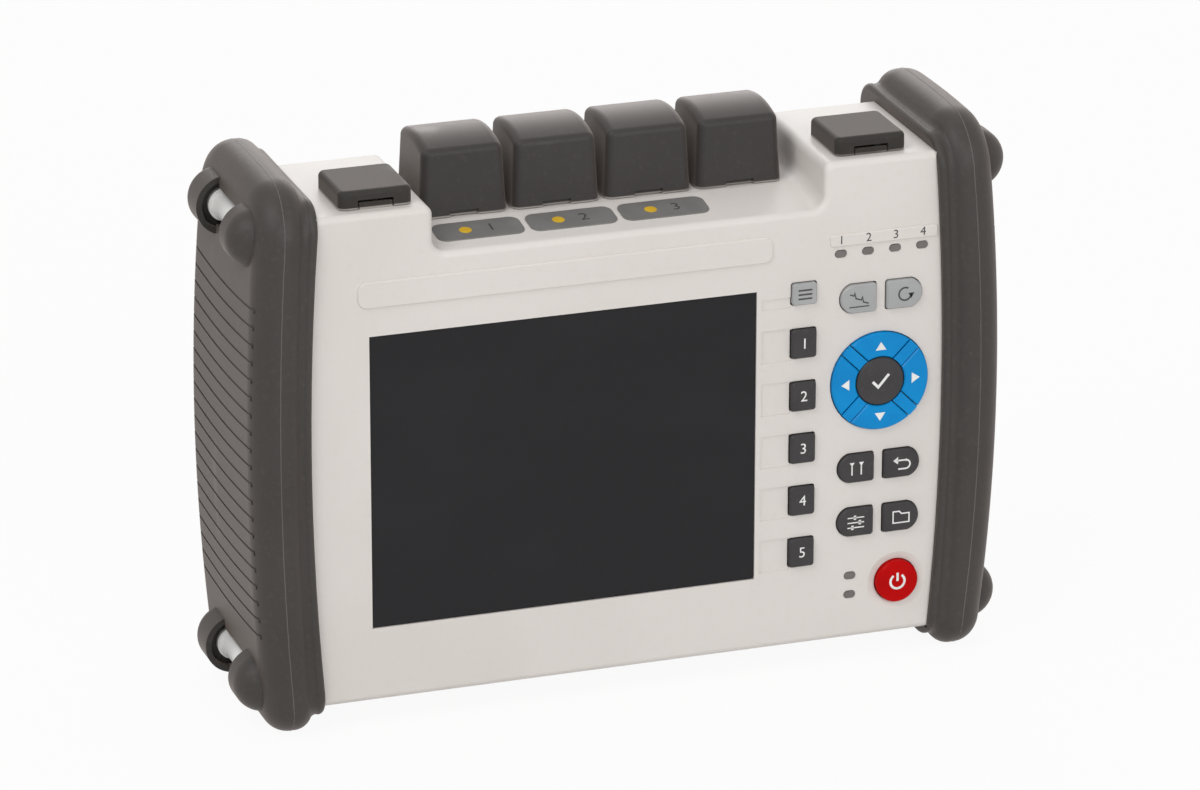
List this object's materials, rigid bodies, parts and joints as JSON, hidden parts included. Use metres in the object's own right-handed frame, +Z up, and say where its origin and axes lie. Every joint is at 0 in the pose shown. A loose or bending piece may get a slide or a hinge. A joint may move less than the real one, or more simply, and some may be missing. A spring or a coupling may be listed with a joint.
{
  "type": "optical time domain reflectometer",
  "caption": "Handheld fibre tester in a white housing with rubber end bumpers, a display, a keypad, hinged port caps on top and a fold-out rear stand.",
  "frame": {"origin": "on the ground, midway between the bumpers and midway between front and back", "axes": "+X to the user's right along the display, +Y to the back, +Z up"},
  "size_m": [0.2436, 0.073, 0.1736],
  "materials": {
    "housing_white": "fine satin moulded plastic, warm white",
    "housing_white_rear": "fine satin moulded plastic, warm white",
    "bumper_rubber": "soft-touch moulded rubber, dark warm grey",
    "strap_bar_plastic": "white moulded bar",
    "window_glass": "dark anti-glare window",
    "gasket_foam": "black foam",
    "display_frame": "pressed metal frame",
    "keymat_rubber": "silicone rubber",
    "circuit_board": "green circuit board",
    "engine_case": "cast aluminium case",
    "spool_plastic": "natural plastic",
    "battery_wrap": "dark shrink wrap",
    "door_plastic": "satin moulded plastic",
    "screw_steel": "zinc plated",
    "stand_plastic": "satin grey plastic",
    "pin_steel": "ground steel",
    "lens_plastic": "smoked light pipe",
    "light_key": "light grey key rubber",
    "red_key": "red key",
    "blue_key": "bright blue key plastic",
    "adapter_nickel": "nickel plated",
    "socket_steel": "nickel plated",
    "socket_plastic": "black plastic",
    "label_grey": "grey printed film, blank",
    "dark_key": "dark grey key rubber",
    "cap_rubber": "soft dark grey rubber"
  },
  "bodies": {
    "housing": {"front_shell": "housing_white", "rear_shell": "housing_white_rear", "left_bumper": "bumper_rubber", "right_bumper": "bumper_rubber", "left_strap_bars": "strap_bar_plastic", "right_strap_bars": "strap_bar_plastic", "display_window": "window_glass", "display_gasket": "gasket_foam", "display_module": "display_frame", "key_mat": "keymat_rubber", "key_board": "circuit_board", "main_board": "circuit_board", "optical_engine": "engine_case", "fibre_spool": "spool_plastic", "battery_pack": "battery_wrap", "battery_door": "door_plastic", "battery_door_screws": "screw_steel", "housing_screws": "screw_steel", "stand_pins": "pin_steel", "port_cap_pins": "pin_steel", "service_cap_pins": "pin_steel", "status_lenses": "lens_plastic", "charge_lenses": "lens_plastic", "arrow_frame": "blue_key", "port_adapters": "adapter_nickel", "data_socket": "socket_steel", "power_socket": "socket_plastic", "port_labels": "label_grey"},
    "menu_key": {"menu_key": "light_key"},
    "soft_key_1": {"soft_key_1": "dark_key"},
    "soft_key_2": {"soft_key_2": "dark_key"},
    "soft_key_3": {"soft_key_3": "dark_key"},
    "soft_key_4": {"soft_key_4": "dark_key"},
    "soft_key_5": {"soft_key_5": "dark_key"},
    "measure_key": {"measure_key": "light_key"},
    "auto_key": {"auto_key": "light_key"},
    "marker_key": {"marker_key": "dark_key"},
    "back_key": {"back_key": "dark_key"},
    "setup_key": {"setup_key": "dark_key"},
    "file_key": {"file_key": "dark_key"},
    "power_key": {"power_key": "red_key"},
    "ok_key": {"ok_key": "dark_key"},
    "arrow_key_right": {"arrow_key_right": "blue_key"},
    "arrow_key_up": {"arrow_key_up": "blue_key"},
    "arrow_key_left": {"arrow_key_left": "blue_key"},
    "arrow_key_down": {"arrow_key_down": "blue_key"},
    "port_cap_1": {"port_cap_1": "cap_rubber"},
    "port_cap_2": {"port_cap_2": "cap_rubber"},
    "port_cap_3": {"port_cap_3": "cap_rubber"},
    "port_cap_4": {"port_cap_4": "cap_rubber"},
    "left_service_cap": {"left_service_cap": "cap_rubber"},
    "right_service_cap": {"right_service_cap": "cap_rubber"},
    "rear_stand": {"rear_stand": "stand_plastic"}
  },
  "joints": [
    {"name": "menu_key_press", "type": "slide", "parent": "housing", "child": "menu_key", "axis": [0, 1, 0], "range_m": [0, 0.0008], "stiffness_N_per_m": 500, "springref_m": -0.0002},
    {"name": "soft_key_1_press", "type": "slide", "parent": "housing", "child": "soft_key_1", "axis": [0, 1, 0], "range_m": [0, 0.0008], "stiffness_N_per_m": 500, "springref_m": -0.0002},
    {"name": "soft_key_2_press", "type": "slide", "parent": "housing", "child": "soft_key_2", "axis": [0, 1, 0], "range_m": [0, 0.0008], "stiffness_N_per_m": 500, "springref_m": -0.0002},
    {"name": "soft_key_3_press", "type": "slide", "parent": "housing", "child": "soft_key_3", "axis": [0, 1, 0], "range_m": [0, 0.0008], "stiffness_N_per_m": 500, "springref_m": -0.0002},
    {"name": "soft_key_4_press", "type": "slide", "parent": "housing", "child": "soft_key_4", "axis": [0, 1, 0], "range_m": [0, 0.0008], "stiffness_N_per_m": 500, "springref_m": -0.0002},
    {"name": "soft_key_5_press", "type": "slide", "parent": "housing", "child": "soft_key_5", "axis": [0, 1, 0], "range_m": [0, 0.0008], "stiffness_N_per_m": 500, "springref_m": -0.0002},
    {"name": "measure_key_press", "type": "slide", "parent": "housing", "child": "measure_key", "axis": [0, 1, 0], "range_m": [0, 0.0008], "stiffness_N_per_m": 500, "springref_m": -0.0002},
    {"name": "auto_key_press", "type": "slide", "parent": "housing", "child": "auto_key", "axis": [0, 1, 0], "range_m": [0, 0.0008], "stiffness_N_per_m": 500, "springref_m": -0.0002},
    {"name": "marker_key_press", "type": "slide", "parent": "housing", "child": "marker_key", "axis": [0, 1, 0], "range_m": [0, 0.0008], "stiffness_N_per_m": 500, "springref_m": -0.0002},
    {"name": "back_key_press", "type": "slide", "parent": "housing", "child": "back_key", "axis": [0, 1, 0], "range_m": [0, 0.0008], "stiffness_N_per_m": 500, "springref_m": -0.0002},
    {"name": "setup_key_press", "type": "slide", "parent": "housing", "child": "setup_key", "axis": [0, 1, 0], "range_m": [0, 0.0008], "stiffness_N_per_m": 500, "springref_m": -0.0002},
    {"name": "file_key_press", "type": "slide", "parent": "housing", "child": "file_key", "axis": [0, 1, 0], "range_m": [0, 0.0008], "stiffness_N_per_m": 500, "springref_m": -0.0002},
    {"name": "power_key_press", "type": "slide", "parent": "housing", "child": "power_key", "axis": [0, 1, 0], "range_m": [0, 0.0008], "stiffness_N_per_m": 500, "springref_m": -0.0002},
    {"name": "ok_key_press", "type": "slide", "parent": "housing", "child": "ok_key", "axis": [0, 1, 0], "range_m": [0, 0.0008], "stiffness_N_per_m": 500, "springref_m": -0.0002},
    {"name": "arrow_key_right_press", "type": "slide", "parent": "housing", "child": "arrow_key_right", "axis": [0, 1, 0], "range_m": [0, 0.0008], "stiffness_N_per_m": 500, "springref_m": -0.0002},
    {"name": "arrow_key_up_press", "type": "slide", "parent": "housing", "child": "arrow_key_up", "axis": [0, 1, 0], "range_m": [0, 0.0008], "stiffness_N_per_m": 500, "springref_m": -0.0002},
    {"name": "arrow_key_left_press", "type": "slide", "parent": "housing", "child": "arrow_key_left", "axis": [0, 1, 0], "range_m": [0, 0.0008], "stiffness_N_per_m": 500, "springref_m": -0.0002},
    {"name": "arrow_key_down_press", "type": "slide", "parent": "housing", "child": "arrow_key_down", "axis": [0, 1, 0], "range_m": [0, 0.0008], "stiffness_N_per_m": 500, "springref_m": -0.0002},
    {"name": "port_cap_1_hinge", "type": "hinge", "parent": "housing", "child": "port_cap_1", "pos_m": [-0.04475, 0.0179, 0.1527], "axis": [-1, 0, 0], "range_deg": [0, 100]},
    {"name": "port_cap_2_hinge", "type": "hinge", "parent": "housing", "child": "port_cap_2", "pos_m": [-0.01585, 0.0179, 0.1527], "axis": [-1, 0, 0], "range_deg": [0, 100]},
    {"name": "port_cap_3_hinge", "type": "hinge", "parent": "housing", "child": "port_cap_3", "pos_m": [0.01305, 0.0179, 0.1527], "axis": [-1, 0, 0], "range_deg": [0, 100]},
    {"name": "port_cap_4_hinge", "type": "hinge", "parent": "housing", "child": "port_cap_4", "pos_m": [0.04195, 0.0179, 0.1527], "axis": [-1, 0, 0], "range_deg": [0, 100]},
    {"name": "left_service_cap_hinge", "type": "hinge", "parent": "housing", "child": "left_service_cap", "pos_m": [-0.0773, -0.0016, 0.1645], "axis": [-1, 0, 0], "range_deg": [0, 110]},
    {"name": "right_service_cap_hinge", "type": "hinge", "parent": "housing", "child": "right_service_cap", "pos_m": [0.0773, -0.0016, 0.1645], "axis": [-1, 0, 0], "range_deg": [0, 110]},
    {"name": "rear_stand_hinge", "type": "hinge", "parent": "housing", "child": "rear_stand", "pos_m": [0, 0.0289, 0.0931], "axis": [1, 0, 0], "range_deg": [0, 40]}
  ]
}
